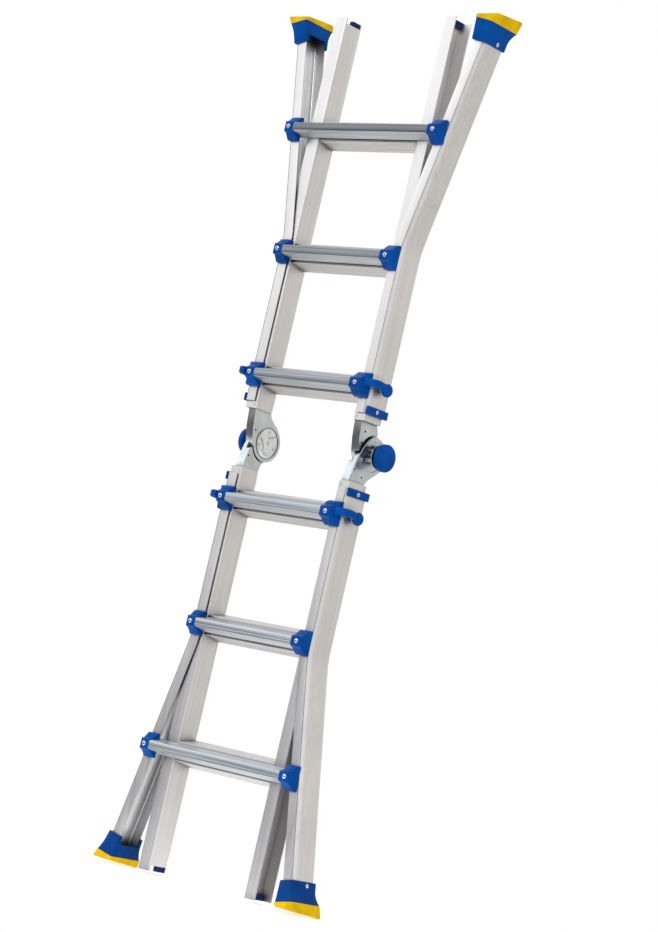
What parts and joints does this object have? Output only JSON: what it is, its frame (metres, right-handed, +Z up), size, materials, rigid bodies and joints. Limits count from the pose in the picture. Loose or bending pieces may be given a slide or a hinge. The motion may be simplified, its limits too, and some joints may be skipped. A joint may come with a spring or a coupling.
{
  "type": "multi position ladder",
  "caption": "Hinged telescoping aluminium ladder with flared outer sections, blue hinge knobs and pull levers, and blue boots with yellow treads at both ends.",
  "frame": {"origin": "centre of the ladder at floor level, midway between the two lower soles", "axes": "+X across the ladder to its right seen from the front, +Y to the back, +Z up along the rails; the front with the treads faces -Y"},
  "size_m": [0.6126, 0.14, 1.942],
  "materials": {
    "rail_outer": "satin extruded, long drawing lines",
    "rail_inner": "satin extruded, long drawing lines",
    "rung_outer": "satin extruded, fine ribs along the rung",
    "rung_inner": "satin extruded, fine ribs along the rung",
    "zinc_steel": "bluish zinc plated pressing",
    "blue_plastic": "blue moulded plastic, soft gloss",
    "yellow_plastic": "yellow moulded tread, satin",
    "dark_insert": "dark blue moulded plastic",
    "rivet": "bright plated head",
    "pin_steel": "turned and plated",
    "spring_steel": "spring wire"
  },
  "bodies": {
    "lower_outer": {"lower_outer_rail_right": "rail_outer", "lower_outer_rail_left": "rail_outer", "lower_boot_right": "blue_plastic", "lower_boot_left": "blue_plastic", "lower_sole_right": "yellow_plastic", "lower_sole_left": "yellow_plastic", "lower_outer_rung_1": "rung_outer", "lower_outer_rung_2": "rung_outer", "lower_outer_rung_3": "rung_outer", "lower_latch_brackets": "blue_plastic", "lower_plain_brackets": "blue_plastic", "lower_end_guides": "blue_plastic", "lower_fasteners": "rivet", "lower_lock_springs": "spring_steel"},
    "lower_inner": {"lower_inner_rail_right": "rail_inner", "lower_inner_rail_left": "rail_inner", "lower_inner_rung_1": "rung_inner", "lower_inner_rung_2": "rung_inner", "lower_inner_rung_3": "rung_inner", "lower_inserts": "dark_insert", "lower_hinge_rivets": "rivet", "lower_hinge_right": "zinc_steel", "lower_hinge_left": "zinc_steel", "hinge_pins": "pin_steel", "hinge_springs": "spring_steel"},
    "lower_latch_right": {"lower_lock_lever_right": "blue_plastic", "lower_lock_pin_right": "pin_steel"},
    "lower_latch_left": {"lower_lock_lever_left": "blue_plastic", "lower_lock_pin_left": "pin_steel"},
    "upper_outer": {"upper_outer_rail_right": "rail_outer", "upper_outer_rail_left": "rail_outer", "upper_boot_right": "blue_plastic", "upper_boot_left": "blue_plastic", "upper_sole_right": "yellow_plastic", "upper_sole_left": "yellow_plastic", "upper_outer_rung_1": "rung_outer", "upper_outer_rung_2": "rung_outer", "upper_outer_rung_3": "rung_outer", "upper_latch_brackets": "blue_plastic", "upper_plain_brackets": "blue_plastic", "upper_end_guides": "blue_plastic", "upper_fasteners": "rivet", "upper_lock_springs": "spring_steel"},
    "upper_inner": {"upper_inner_rail_right": "rail_inner", "upper_inner_rail_left": "rail_inner", "upper_inner_rung_1": "rung_inner", "upper_inner_rung_2": "rung_inner", "upper_inner_rung_3": "rung_inner", "upper_inserts": "dark_insert", "upper_hinge_rivets": "rivet", "upper_hinge_right": "zinc_steel", "upper_hinge_left": "zinc_steel"},
    "upper_latch_right": {"upper_lock_lever_right": "blue_plastic", "upper_lock_pin_right": "pin_steel"},
    "upper_latch_left": {"upper_lock_lever_left": "blue_plastic", "upper_lock_pin_left": "pin_steel"},
    "knob_right": {"hinge_knob_right": "blue_plastic", "hinge_bolts_right": "pin_steel"},
    "knob_left": {"hinge_knob_left": "blue_plastic", "hinge_bolts_left": "pin_steel"}
  },
  "joints": [
    {"name": "lower_extend", "type": "slide", "parent": "lower_outer", "child": "lower_inner", "axis": [0, 0, 1], "range_m": [0, 0.56]},
    {"name": "fold", "type": "hinge", "parent": "lower_inner", "child": "upper_inner", "pos_m": [0, 0.028, 0.971], "axis": [-1, 0, 0], "range_deg": [0, 175]},
    {"name": "upper_extend", "type": "slide", "parent": "upper_inner", "child": "upper_outer", "axis": [0, 0, 1], "range_m": [0, 0.56]},
    {"name": "lower_latch_right_pull", "type": "slide", "parent": "lower_outer", "child": "lower_latch_right", "axis": [1, 0, 0], "range_m": [0, 0.03], "stiffness_N_per_m": 600, "springref_m": -0.01},
    {"name": "lower_latch_left_pull", "type": "slide", "parent": "lower_outer", "child": "lower_latch_left", "axis": [-1, 0, 0], "range_m": [0, 0.03], "stiffness_N_per_m": 600, "springref_m": -0.01},
    {"name": "upper_latch_right_pull", "type": "slide", "parent": "upper_outer", "child": "upper_latch_right", "axis": [1, 0, 0], "range_m": [0, 0.03], "stiffness_N_per_m": 600, "springref_m": -0.01},
    {"name": "upper_latch_left_pull", "type": "slide", "parent": "upper_outer", "child": "upper_latch_left", "axis": [-1, 0, 0], "range_m": [0, 0.03], "stiffness_N_per_m": 600, "springref_m": -0.01},
    {"name": "knob_right_press", "type": "slide", "parent": "lower_inner", "child": "knob_right", "axis": [-1, 0, 0], "range_m": [0, 0.01], "stiffness_N_per_m": 1500, "springref_m": -0.006},
    {"name": "knob_left_press", "type": "slide", "parent": "lower_inner", "child": "knob_left", "axis": [1, 0, 0], "range_m": [0, 0.01], "stiffness_N_per_m": 1500, "springref_m": -0.006}
  ]
}
